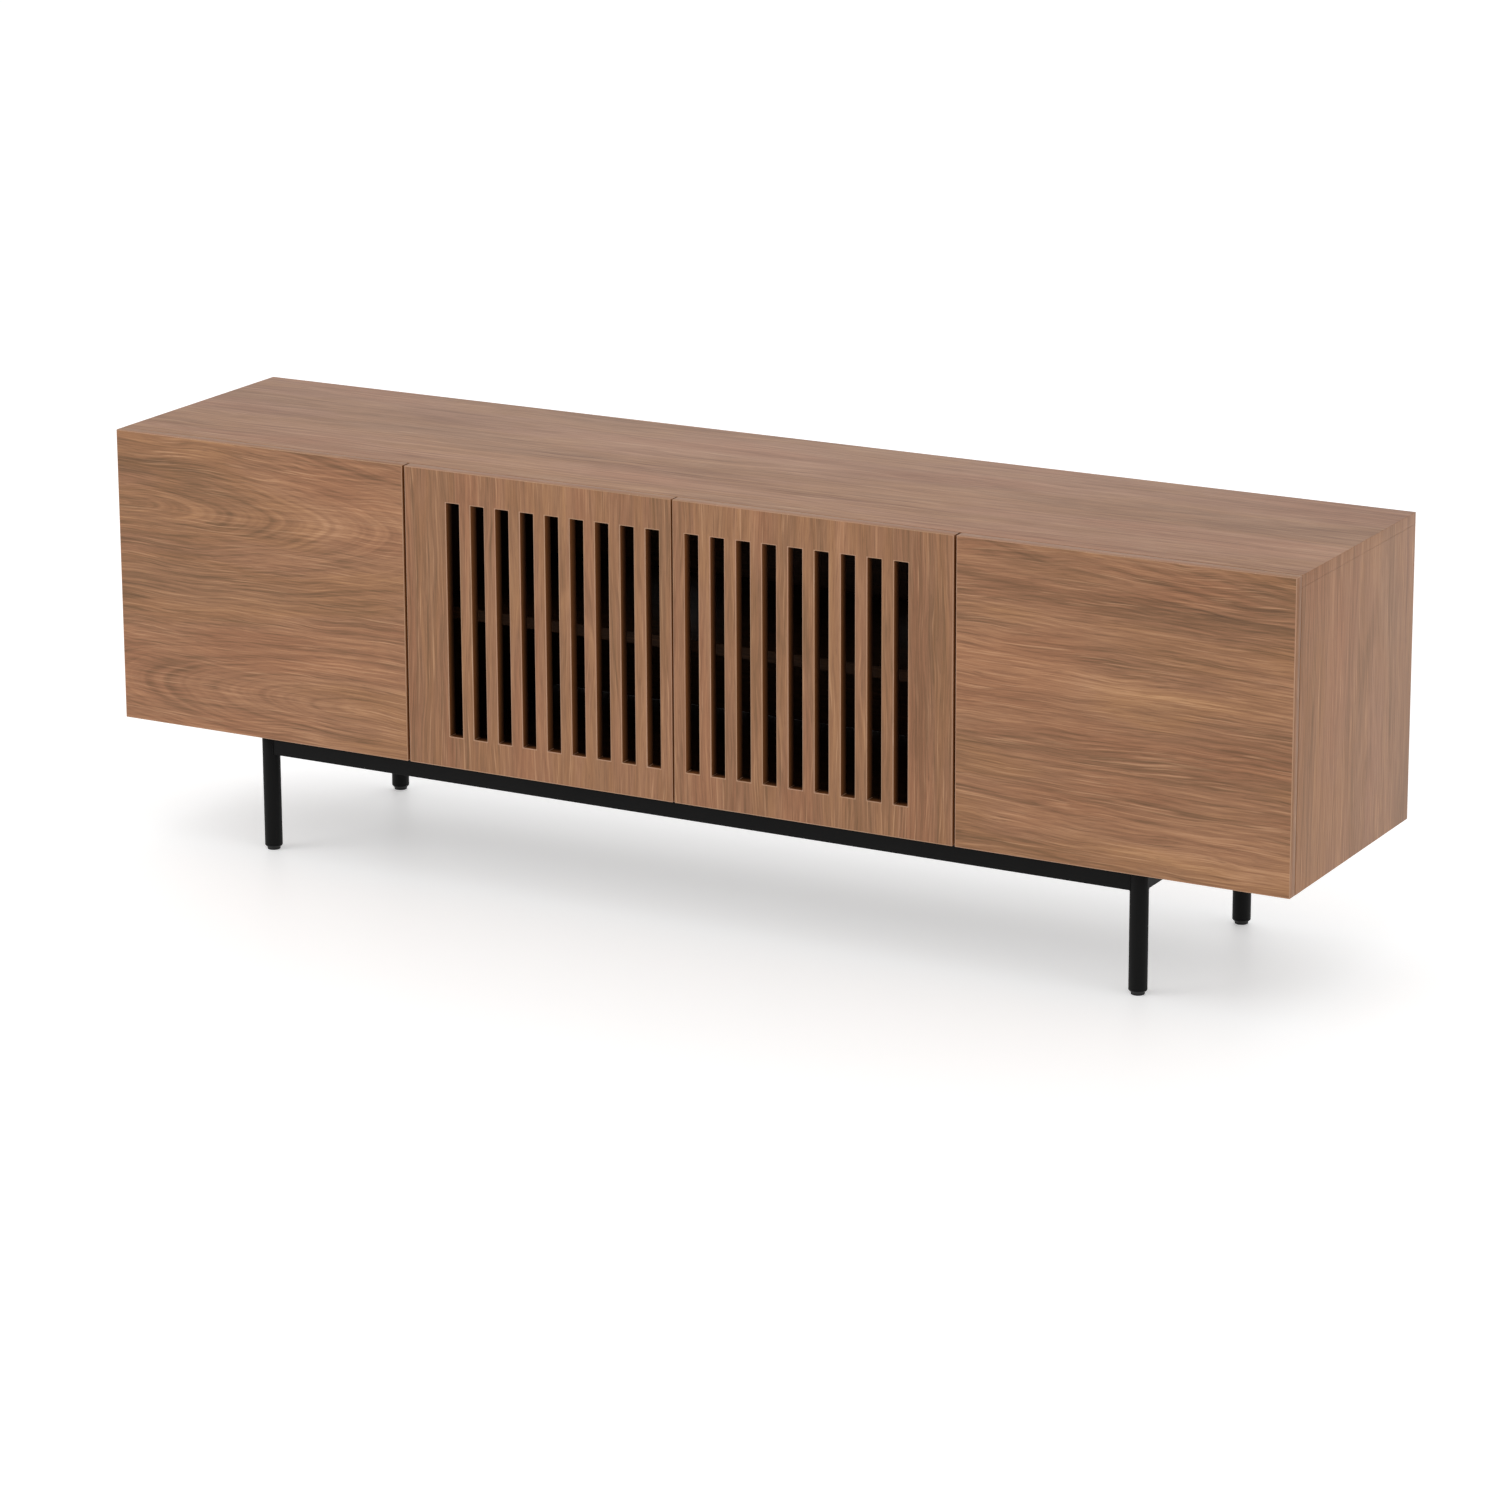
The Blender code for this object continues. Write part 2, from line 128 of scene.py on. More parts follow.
# ---------------------------------------------------------------- walnut

# Walnut from its dark late wood to its pale streaks, as a clear matt lacquer leaves it
WALNUT_TONES = ((0.0, "573c27"), (0.3, "7a5639"), (0.5, "906547"), (0.7, "a27553"), (1.0, "c0926d"))
# The top is drawn paler than the doors: painted sheen of the bright surroundings seen at a low
# angle. Its edge bands share these tones
TOP_TONES_PAINTED_SHEEN = ((0.0, "694834"), (0.3, "8a6248"), (0.5, "a07559"), (0.7, "b08466"), (1.0, "c8a282"))
# Arrises are paler than the faces: lacquer rubbed thin, and a painted highlight along the rounded
# edge
ARRIS_TONES_WEAR_AND_HIGHLIGHT = ((0.0, "8c6851"), (0.3, "a27a60"), (0.6, "b28a6f"), (1.0, "c6a287"))
# The boards inside are drawn darker than the doors: painted shade of the closed cabinet's inside
INSIDE_TONES_PAINTED_SHADE = ((0.0, "1c110a"), (0.3, "2a190e"), (0.5, "342012"), (0.7, "3d2716"), (1.0, "4c321f"))
# Slight shifts of hue between flitches: pinkish, neutral, straw and greyish
TINTS = ((0.36, "fff8f4"), (0.47, "ffffff"), (0.55, "fffef3"), (0.66, "f7f9f5"))
# Waves of the grain: length and width in mm, and twice the furthest that each pushes a fibre
FIBRE_SWAY = ((330, 90, (0, 24, 12)), (110, 36, (0, 10, 0)))
# Layers of the figure: length along the grain and width across it in mm, weight and detail.
# Growth rings make the soft arches, and bundles of fibres the thin straight streaks over them
BROAD_WEIGHT = 0.5
RING_LAYERS = ((700, 24, 0.36, 2.0), (340, 7, 0.46, 2.0), (420, 2.8, 0.50, 1.0))
FIBRE_LAYERS = ((260, 6, 0.36, 2.0), (110, 2.7, 0.66, 3.0), (42, 1.5, 0.50, 2.0))


def grain_place(tree, grain, across, middle):
    """Object coordinates turned so that X runs along the grain, Y across it and Z out of it."""
    out = UNIT[grain].cross(UNIT[across])
    turn = Matrix((UNIT[grain], UNIT[across], out)).transposed().to_euler()
    place = add_node(tree, "ShaderNodeTexCoord").outputs["Object"]
    return add_node(tree, "ShaderNodeMapping",
                    {"vector_type": "TEXTURE", "Location": middle, "Rotation": turn},
                    {"Vector": place}).outputs[0]


def patches(tree, place, length, width, seed, detail=2.0):
    """Noise whose patches are length by width millimetres."""
    cells = add_node(tree, "ShaderNodeMapping",
                     {"Location": (seed, 1.7 * seed, 2.3 * seed),
                      "Scale": (1 / (length * MM), 1 / (width * MM), 1 / (width * MM))},
                     {"Vector": place}).outputs[0]
    return add_node(tree, "ShaderNodeTexNoise", {"Scale": 1.0, "Detail": detail},
                    {"Vector": cells}).outputs


def fibre_place(tree, place, seed):
    """Coordinates that wander with the fibres, by 4 mm over a forearm and 2 mm over a hand."""
    for length, width, push in FIBRE_SWAY:
        sway = patches(tree, place, length, width, seed + length, 1.0)["Color"]
        place = add_node(tree, "ShaderNodeVectorMath",
                         {"operation": "MULTIPLY_ADD", 1: Vector(push) * MM},
                         {0: sway, 2: place}).outputs[0]
    return place


def ring_place(tree, place, piths):
    """Coordinates that follow the growth rings: X along the grain, Y the distance to the pith.

    Each pith is how far across the board it lies, how deep under the face in mm, and its tilt in
    degrees. A tilted pith makes nested arches, and far from it the rings are straight lines.
    """
    # The sway is noise from 0 to 1, so on average it pushes the fibres by half of its range
    pushed = sum(push[1] for _, _, push in FIBRE_SWAY) / 2
    radius = None
    for across, depth, tilt in piths:
        centre = Vector((0, across + pushed, -depth)) * MM
        pith = add_node(tree, "ShaderNodeMapping",
                        {"vector_type": "TEXTURE", "Location": centre,
                         "Rotation": (0, math.radians(tilt), 0)}, {"Vector": place}).outputs[0]
        flat = add_node(tree, "ShaderNodeVectorMath", {"operation": "MULTIPLY", 1: (0, 1, 1)},
                        {0: pith}).outputs[0]
        length = add_node(tree, "ShaderNodeVectorMath", {"operation": "LENGTH"},
                          {0: flat}).outputs["Value"]
        if radius is None:
            radius = length
        else:
            radius = add_node(tree, "ShaderNodeMath", {"operation": "SMOOTH_MIN", 2: 30 * MM},
                              {0: radius, 1: length}).outputs[0]
    along = add_node(tree, "ShaderNodeSeparateXYZ", None, {0: place}).outputs[0]
    return add_node(tree, "ShaderNodeCombineXYZ", None, {0: along, 1: radius}).outputs[0]


def walnut(name, grain, across, middle, seed, piths=((0, 120, 2),), contrast=1.0,
           tones=WALNUT_TONES, hue_width=110, specular=0.35):
    """Crown-cut American walnut veneer, sanded and sprayed with a matt lacquer.

    The eye sees soft brown figure in faint arches and thin long streaks, flitches of slightly
    different hue, open pores as short dark dashes, and a dull sheen at a low angle.
    """
    material, tree, shader = new_material(name, "946849", 0.5, specular=specular)
    place = grain_place(tree, grain, across, middle)
    fibres = fibre_place(tree, place, seed)
    rings = ring_place(tree, fibres, piths)
    layers = [(rings, layer) for layer in RING_LAYERS] + [(fibres, layer) for layer in FIBRE_LAYERS]
    # Noise averages 0.5, so the layers add up to a tone that averages 0.5 too
    start = 0.5 - contrast * 0.5 * (BROAD_WEIGHT + sum(layer[2] for _, layer in layers))
    broad = patches(tree, place, 620, 110, seed + 17)["Fac"]
    tone = add_node(tree, "ShaderNodeMath",
                    {"operation": "MULTIPLY_ADD", 1: BROAD_WEIGHT * contrast, 2: start},
                    {0: broad}).outputs[0]
    for index, (source, (length, width, weight, detail)) in enumerate(layers):
        streaks = patches(tree, source, length, width, seed + 5 * index, detail)["Fac"]
        tone = add_node(tree, "ShaderNodeMath", {"operation": "MULTIPLY_ADD", 1: weight * contrast},
                        {0: streaks, 2: tone}).outputs[0]
    colour = add_node(tree, "ShaderNodeValToRGB", None, {0: tone}, tones).outputs[0]
    hue = patches(tree, place, 480, hue_width, seed + 29)["Fac"]
    tint = add_node(tree, "ShaderNodeValToRGB", None, {0: hue}, TINTS).outputs[0]
    colour = add_node(tree, "ShaderNodeMix",
                      {"data_type": "RGBA", "blend_type": "MULTIPLY", "Factor": 1.0},
                      {6: colour, 7: tint}).outputs[2]
    # Here and there a bundle of fibres catches the light along a hand's length
    bright = add_node(tree, "ShaderNodeMapRange",
                      {"From Min": 0.60, "From Max": 0.76, "To Min": 0.0, "To Max": 0.55},
                      {"Value": patches(tree, fibres, 130, 2.4, seed + 37, 1.0)["Fac"]}).outputs[0]
    colour = add_node(tree, "ShaderNodeMix", {"data_type": "RGBA", 7: linear(tones[-1][1])},
                      {0: bright, 6: colour}).outputs[2]
    # Pores are 0.3 mm wide on the real wood and drawn at 1.1 mm, so that they show
    pores = add_node(tree, "ShaderNodeMapRange",
                     {"From Min": 0.62, "From Max": 0.74, "To Min": 0.0, "To Max": 0.35},
                     {"Value": patches(tree, fibres, 22, 1.1, seed + 19, 1.0)["Fac"]}).outputs[0]
    colour = add_node(tree, "ShaderNodeMix", {"data_type": "RGBA", 7: linear(tones[0][1])},
                      {0: pores, 6: colour}).outputs[2]
    tree.links.new(colour, shader.inputs["Base Color"])
    rough = add_node(tree, "ShaderNodeMapRange",
                     {"From Min": 0.2, "From Max": 0.8, "To Min": 0.54, "To Max": 0.44},
                     {"Value": tone}).outputs[0]
    tree.links.new(rough, shader.inputs["Roughness"])
    height = add_node(tree, "ShaderNodeMath", {"operation": "SUBTRACT"},
                      {0: tone, 1: pores}).outputs[0]
    bump = add_node(tree, "ShaderNodeBump", {"Strength": 0.2, "Distance": 0.15 * MM},
                    {"Height": height}).outputs[0]
    tree.links.new(bump, shader.inputs["Normal"])
    return material


def slot_painted_shade(name, front, depth):
    """Routed core of the slots, with painted shade: brown at the face, near black at the back."""
    material, tree, shader = new_material(name, "2a190e", 0.6, specular=0.2)
    place = add_node(tree, "ShaderNodeTexCoord").outputs["Object"]
    into = add_node(tree, "ShaderNodeSeparateXYZ", None, {0: place}).outputs["Y"]
    fade = add_node(tree, "ShaderNodeMapRange",
                    {"From Min": front, "From Max": front + depth}, {"Value": into}).outputs[0]
    # The router leaves the core fuzzy, in tufts of about 1.5 mm
    fuzz = patches(tree, place, 1.5, 1.5, 5.0)["Fac"]
    fade = add_node(tree, "ShaderNodeMath", {"operation": "MULTIPLY_ADD", 1: 0.1},
                    {0: fuzz, 2: fade}).outputs[0]
    # Painted shade, deepening with the distance into the slot
    colour = add_node(tree, "ShaderNodeValToRGB", None, {0: fade},
                      ((0.0, "84522c"), (0.6, "6c4223"), (1.0, "3a2312")))
    tree.links.new(colour.outputs[0], shader.inputs["Base Color"])
    return material


# ---------------------------------------------------------------- metal and plastic

def powder_coat():
    """Matt black polyester powder, baked on steel: dark, with a fine orange peel that dulls it."""
    material, tree, shader = new_material("black_powder_coat", "090909", 0.55, specular=0.12)
    place = add_node(tree, "ShaderNodeTexCoord").outputs["Object"]
    # Orange peel is about 1.2 mm from hump to hump, and handling dulls patches a hand wide
    peel = patches(tree, place, 1.2, 1.2, 3.0)["Fac"]
    handled = patches(tree, place, 70, 70, 9.0, 3.0)["Fac"]
    rough = add_node(tree, "ShaderNodeMapRange", {"To Min": 0.48, "To Max": 0.62},
                     {"Value": handled}).outputs[0]
    tree.links.new(rough, shader.inputs["Roughness"])
    bump = add_node(tree, "ShaderNodeBump", {"Strength": 0.3, "Distance": 0.1 * MM},
                    {"Height": peel}).outputs[0]
    tree.links.new(bump, shader.inputs["Normal"])
    return material


def moulded_polyamide(name, hex_colour):
    """Injection-moulded polyamide: an even colour with the mould's spark-eroded texture."""
    material, tree, shader = new_material(name, hex_colour, 0.55, specular=0.35)
    place = add_node(tree, "ShaderNodeTexCoord").outputs["Object"]
    texture = patches(tree, place, 0.5, 0.5, 2.0, 1.0)["Fac"]
    flow = patches(tree, place, 12, 12, 6.0)["Fac"]
    rough = add_node(tree, "ShaderNodeMapRange", {"To Min": 0.48, "To Max": 0.62},
                     {"Value": flow}).outputs[0]
    tree.links.new(rough, shader.inputs["Roughness"])
    bump = add_node(tree, "ShaderNodeBump", {"Strength": 0.2, "Distance": 0.05 * MM},
                    {"Height": texture}).outputs[0]
    tree.links.new(bump, shader.inputs["Normal"])
    return material


def nickel_plate():
    """Bright nickel on pressed steel, with faint drawing marks."""
    material, tree, shader = new_material("nickel_plate", "c9c4bb", 0.28, metallic=1.0)
    place = add_node(tree, "ShaderNodeTexCoord").outputs["Object"]
    # The press draws marks about 16 mm long and 1.1 mm apart
    marks = patches(tree, place, 1.1, 16, 4.0)["Fac"]
    rough = add_node(tree, "ShaderNodeMapRange", {"To Min": 0.22, "To Max": 0.38},
                     {"Value": marks}).outputs[0]
    tree.links.new(rough, shader.inputs["Roughness"])
    return material


# ---------------------------------------------------------------- making pieces

def new_piece(name, shape, materials, smooth_to=35.0):
    """Turns a bmesh whose vertices are already in place into an object at the origin."""
    mesh = bpy.data.meshes.new(name)
    shape.to_mesh(mesh)
    shape.free()
    for material in materials:
        mesh.materials.append(material)
    mesh.shade_smooth()
    mesh.set_sharp_from_angle(angle=math.radians(smooth_to))
    piece = bpy.data.objects.new(name, mesh)
    bpy.context.scene.collection.objects.link(piece)
    return piece


def stand_for(piece, node):
    """The piece takes a CAD node's place: its body and its visibility."""
    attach(piece, frame["nodes"][node]["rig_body"])
    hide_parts(node)
    return piece


def fasten(piece, body):
    """An extra small piece that rides on a body."""
    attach(piece, body)
    return piece


def block(low, high):
    """A bmesh box between two corners."""
    low, high = Vector(low), Vector(high)
    shape = bmesh.new()
    bmesh.ops.create_cube(shape, size=1.0)
    bmesh.ops.scale(shape, vec=high - low, verts=shape.verts)
    bmesh.ops.translate(shape, vec=(low + high) / 2, verts=shape.verts)
    return shape


def sharp_edges(shape, least=35.0):
    """Edges where two faces meet at more than least degrees."""
    return [edge for edge in shape.edges
            if len(edge.link_faces) == 2 and edge.calc_face_angle(0.0) > math.radians(least)]


def edges_along(shape, axis):
    """Edges that run along one axis of the shape."""
    return [edge for edge in shape.edges
            if abs((edge.verts[1].co - edge.verts[0].co).normalized()[axis]) > 0.99]


def round_edges(shape, width, segments=3, edges=None):
    """Rounds the given edges, or every sharp one."""
    bmesh.ops.bevel(shape, geom=sharp_edges(shape) if edges is None else edges, offset=width,
                    offset_type="OFFSET", segments=segments, profile=0.5, material=-1,
                    affect="EDGES", clamp_overlap=True)
    return shape


def plate(low, high, corner, soften, across=2):
    """A flat plate with round corners; across is the axis of its thickness."""
    shape = block(low, high)
    round_edges(shape, corner, 6, edges_along(shape, across))
    round_edges(shape, soften, 2)
    return shape


def pressing(low, high, corner, soften):
    """A pressed plate between two corners, all in millimetres."""
    return plate(Vector(low) * MM, Vector(high) * MM, corner * MM, soften * MM)


def turned(outline, steps=48, closed=False):
    """A solid turned about Z from (radius, height) points in millimetres."""
    shape = bmesh.new()
    points = [shape.verts.new((radius * MM, 0, height * MM)) for radius, height in outline]
    pairs = list(zip(points, points[1:]))
    if closed:
        pairs.append((points[-1], points[0]))
    edges = [shape.edges.new(pair) for pair in pairs]
    bmesh.ops.spin(shape, geom=points + edges, cent=(0, 0, 0), axis=(0, 0, 1), angle=math.tau,
                   steps=steps, use_merge=True)
    bmesh.ops.remove_doubles(shape, verts=shape.verts, dist=0.002 * MM)
    bmesh.ops.recalc_face_normals(shape, faces=shape.faces)
    return shape


def arc(centre, radius, start, end, count=4):
    """Points of an arc in an outline, angles in degrees from the outward direction."""
    return [(centre[0] + radius * math.cos(math.radians(start + (end - start) * i / count)),
             centre[1] + radius * math.sin(math.radians(start + (end - start) * i / count)))
            for i in range(count + 1)]


def screw_head(radius, height, recess=0.45):
    """A domed screw head with a cross recess, standing on z = 0; sizes in millimetres."""
    shape = bmesh.new()
    bmesh.ops.create_grid(shape, x_segments=5, y_segments=5, size=1.0)
    for vert in shape.verts:
        if max(abs(vert.co.x), abs(vert.co.y)) > 0.9:
            vert.co.normalize()
        vert.co *= radius * MM
        vert.co.z = (1 - 0.25 * (vert.co.length / (radius * MM)) ** 2) * height * MM
    cross = [face for face in shape.faces
             if face.calc_center_median().xy.length < recess * radius * MM]
    sunk = bmesh.ops.extrude_face_region(shape, geom=cross)["geom"]
    bmesh.ops.delete(shape, geom=cross, context="FACES_ONLY")
    floor = [part for part in sunk if isinstance(part, bmesh.types.BMVert)]
    bmesh.ops.translate(shape, vec=(0, 0, -0.6 * height * MM), verts=floor)
    rim = [edge for edge in shape.edges if len(edge.link_faces) == 1]
    skirt = bmesh.ops.extrude_edge_only(shape, edges=rim)["geom"]
    for part in skirt:
        if isinstance(part, bmesh.types.BMVert):
            part.co.z = 0.0
    bmesh.ops.contextual_create(shape, geom=[edge for edge in shape.edges
                                             if len(edge.link_faces) == 1])
    bmesh.ops.recalc_face_normals(shape, faces=shape.faces)
    return shape


def moved(shape, matrix):
    """The same bmesh, moved or turned by a matrix."""
    bmesh.ops.transform(shape, matrix=matrix, verts=shape.verts)
    return shape


def at(x, y, z):
    """A move in millimetres."""
    return Matrix.Translation(Vector((x, y, z)) * MM)


def joined(shapes):
    """One bmesh of several."""
    whole = bmesh.new()
    for shape in shapes:
        carrier = bpy.data.meshes.new("carrier")
        shape.to_mesh(carrier)
        shape.free()
        whole.from_mesh(carrier)
        bpy.data.meshes.remove(carrier)
    return whole


def axes_at(place, along, out):
    """A frame at place whose X runs along and whose Z points out."""
    along, out = Vector(along), Vector(out)
    turn = Matrix((along, out.cross(along), out)).transposed().to_4x4()
    return Matrix.Translation(place) @ turn


def node_shape(node):
    """A merged copy of a CAD node's mesh, with its flat faces whole again."""
    shape = bmesh.new()
    shape.from_mesh(frame["nodes"][node].data)
    bmesh.ops.remove_doubles(shape, verts=shape.verts, dist=0.01 * MM)
    bmesh.ops.dissolve_limit(shape, angle_limit=math.radians(1), verts=shape.verts,
                             edges=shape.edges)
    shape.normal_update()
    return shape


def middle_of(node):
    """Middle of a CAD node's box."""
    low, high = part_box(node)
    return (low + high) / 2


# ---------------------------------------------------------------- boards

# Radius of a board's edges, and the width of the pale strip beside them on a door: lacquer rubbed
# thin, with a painted highlight
ARRIS = 0.8 * MM
RUBBED_AND_HIGHLIGHT = 0.5 * MM
# Places of a door's finishes among its materials
FACE, LEVEL_BAND, UPRIGHT_BAND, PAINTED_SHADE, WORN_AND_HIGHLIGHT = range(5)


def board(node, looks, flush=None):
    """A veneered board with softly rounded arrises. looks gives the finish of the faces that
    look along an axis, such as "z", or one way along it, such as "-z". The edges round the
    flush face stay crisp, because the next board meets them without a step."""
    shape = block(*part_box(node))
    shape.normal_update()
    materials = list(dict.fromkeys(looks.values()))
    crisp = []
    for face in shape.faces:
        index = max(range(3), key=lambda i: abs(face.normal[i]))
        axis = "xyz"[index]
        way = axis if face.normal[index] > 0 else f"-{axis}"
        face.material_index = materials.index(looks.get(way) or looks[axis])
        if way == flush:
            crisp = list(face.edges)
    round_edges(shape, ARRIS, edges=[edge for edge in shape.edges if edge not in crisp])
    piece = new_piece(f"{node}_board", shape, materials)
    return stand_for(piece, node)


def make_carcass():
    """Top with long grain, ends with upright grain, and boards inside darkened with painted shade.
    """
    # The bands along x and y take the top's paler tones, with their painted sheen
    bands = {axis: walnut(f"edge_band_along_{axis}", axis, other, (0, 0, 0), seed, contrast=0.45,
                          piths=((0, 400, 0),), tones=tones)
             for axis, other, seed, tones in (("x", "z", 41, TOP_TONES_PAINTED_SHEEN), ("y", "z", 43, TOP_TONES_PAINTED_SHEEN),
                                              ("z", "x", 47, WALNUT_TONES))}
    # The inside boards and the front edges of the shelves and bottom panel carry painted shade
    flat = walnut("walnut_inside_flat", "x", "y", middle_of("bottom_panel"), 6.0, contrast=0.7,
                  tones=INSIDE_TONES_PAINTED_SHADE, specular=0.15)
    upright = walnut("walnut_inside_upright", "z", "y", (0, 0, 0), 8.0, contrast=0.7,
                     tones=INSIDE_TONES_PAINTED_SHADE, specular=0.15)
    dark_band = walnut("inside_edge_band", "x", "z", (0, 0, 0), 49, contrast=0.5,
                       tones=INSIDE_TONES_PAINTED_SHADE, specular=0.1)
    # The top's paler tones are painted sheen
    top = walnut("walnut_top", "x", "y", middle_of("top_panel"), 2.0, contrast=0.8,
                 piths=((60, 90, 1.0),), tones=TOP_TONES_PAINTED_SHEEN)
    ends = {side: walnut(f"walnut_end_{side}", "z", "y", middle_of(f"side_panel_{side}"), seed,
                         piths=((50, 150, 2.0),), contrast=0.65)
            for side, seed in (("left", 12.0), ("right", 17.0))}
    # The ends' veneer runs up over the top panel's edge
    board("top_panel", {"z": top, "-z": flat, "x": ends["right"], "-x": ends["left"],
                        "y": bands["x"]}, flush="-z")
    board("bottom_panel", {"z": flat, "x": flat, "y": dark_band})
    for side, face in ends.items():
        outer, inner = ("-x", "x") if side == "left" else ("x", "-x")
        board(f"side_panel_{side}", {outer: face, inner: upright, "y": bands["z"],
                                     "z": bands["y"]}, flush="z")
        board(f"partition_{side}", {"x": upright, "y": upright, "z": upright})
    for bay in ("left", "centre", "right"):
        board(f"shelf_{bay}", {"z": flat, "x": flat, "y": dark_band})
    return bands, flat


def make_back(outside, inside):
    """Thin back panel, dark inside with painted shade, with the edges of its cable holes broken."""
    shape = node_shape("back_panel")
    for face in shape.faces:
        face.material_index = 0 if face.normal.y > 0.5 else 1
    round_edges(shape, 0.5 * MM, 2)
    piece = new_piece("back_panel_board", shape, [outside, inside])
    stand_for(piece, "back_panel")


# ---------------------------------------------------------------- doors

def paint_door(shape, low, high):
    """Gives the broad sides, edges, slots and arrises of a door their finishes.

    The upright edges that meet another door get the slots' painted shade, so that the gaps look
    dark. The one at the cabinet's end keeps its edge band.
    """
    for face in shape.faces:
        index = max(range(3), key=lambda i: abs(face.normal[i]))
        place = face.calc_center_median()
        edge_gap = min(abs(place[index] - low[index]), abs(place[index] - high[index]))
        if abs(face.normal[index]) < 0.95:
            face.material_index = WORN_AND_HIGHLIGHT
        elif index == 1:
            face.material_index = FACE
        # Slot walls and the edges between doors: painted shade
        elif edge_gap > 2 * ARRIS:
            face.material_index = PAINTED_SHADE
        elif index == 0:
            at_end = abs(place.x) > CAD_BOUNDS[1].x - 2 * ARRIS
            face.material_index = UPRIGHT_BAND if at_end else PAINTED_SHADE
        else:
            face.material_index = LEVEL_BAND
    # A narrow pale line beside each arris: lacquer rubbed thin, with a painted highlight
    front = [face for face in shape.faces if face.material_index == FACE and face.normal.y < 0]
    for face in bmesh.ops.inset_region(shape, faces=front, thickness=RUBBED_AND_HIGHLIGHT,
                                       use_even_offset=True)["faces"]:
        face.material_index = WORN_AND_HIGHLIGHT


def make_doors(bands):
    """Long grain on the solid doors, upright grain through rails and slats on the others."""
    low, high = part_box("door_solid_left")
    # The slot walls and the edges between doors get painted shade
    painted_slot_shade = slot_painted_shade("slot_painted_shade", low.y, high.y - low.y)
    # The arris finish is rubbed lacquer with a painted highlight
    arris = walnut("arris", "z", "x", (0, 0, 0), 51, contrast=0.3, tones=ARRIS_TONES_WEAR_AND_HIGHLIGHT,
                   piths=((0, 400, 0),))
    veneers = {
        "door_solid_left": dict(grain="x", across="z", seed=3.0,
                                piths=((120, 30, 10.0), (-165, 20, -9.0))),
        "door_solid_right": dict(grain="x", across="z", seed=9.0,
                                 piths=((260, 90, -5.0), (-300, 120, 3.0))),
        "door_slatted_left": dict(grain="z", across="x", seed=15.0, piths=((60, 130, 3.0),),
                                  contrast=0.7, hue_width=44),
        "door_slatted_right": dict(grain="z", across="x", seed=19.0, piths=((-60, 130, 3.0),),
                                   contrast=0.7, hue_width=44),
    }
    for node, veneer in veneers.items():
        face = walnut(f"walnut_{node}", middle=middle_of(node), **veneer)
        shape = node_shape(node)
        paint_door(shape, *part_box(node))
        piece = new_piece(f"{node}_panel", shape, [face, bands["x"], bands["z"], painted_slot_shade, arris], 50)
        stand_for(piece, node)


# ---------------------------------------------------------------- hinges

# Concealed hinges for a 35 mm bore, sizes in millimetres
CUP_RADIUS = 17.4
CUP_DEPTH = 11.5
CUP_WALL = 1.6
CUP_FLOOR = 1.4
EAR_THICKNESS = 1.0
EAR_SCREW_OFFSET = 21.5
ARM_LENGTH = 62
ARM_HALF_WIDTH = 6.5
ARM_TOP = 13.7
MOUNTING_PLATE = 2.7
# Lays a pin that was turned about Z along -Y
LAID_ACROSS = Matrix.Rotation(math.radians(90), 4, "X")


def hinge_cup(node, side, nickel):
    """Drawn cup with a rolled rim, its two ears and their screws, and the links' pivot inside."""
    low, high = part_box(node)
    seat = Vector(((low.x + high.x) / 2, high.y - EAR_THICKNESS * MM, (low.z + high.z) / 2))
    place = axes_at(seat, (-side, 0, 0), (0, 1, 0))
    inner = CUP_RADIUS - CUP_WALL
    floor = CUP_FLOOR - CUP_DEPTH
    outer_bend = 2.0
    inner_bend = 1.5
    outline = ([(0, -CUP_DEPTH)]
               + arc((CUP_RADIUS - outer_bend, outer_bend - CUP_DEPTH), outer_bend, -90, 0)
               + [(CUP_RADIUS, 0.1)] + arc((CUP_RADIUS + 0.6, 0.6), 0.5, -90, 90)
               + arc((CUP_RADIUS - 0.4, -0.1), 1.2, 90, 180) + [(inner, floor + inner_bend)]
               + arc((inner - inner_bend, floor + inner_bend), inner_bend, 0, -90) + [(0, floor)])
    ears = [pressing((-2, start, 0), (14, start + 10.5, EAR_THICKNESS), 3, 0.25)
            for start in (15.5, -26)]
    screws = [moved(screw_head(3.6, 1.8), at(9.0, y, EAR_THICKNESS - 0.2))
              for y in (EAR_SCREW_OFFSET, -EAR_SCREW_OFFSET)]
    pivot = moved(turned([(0, 0), (1.6, 0), (1.6, 26), (0, 26)], 16), at(4, 13, -4.5) @ LAID_ACROSS)
    saddle = pressing((-6, -11, floor + 0.2), (9, 11, floor + 2.5), 2, 0.4)
    shape = joined([turned(outline), *ears, *screws, pivot, saddle])
    piece = new_piece(f"{node}_pressing", moved(shape, place), [nickel])
    stand_for(piece, node)


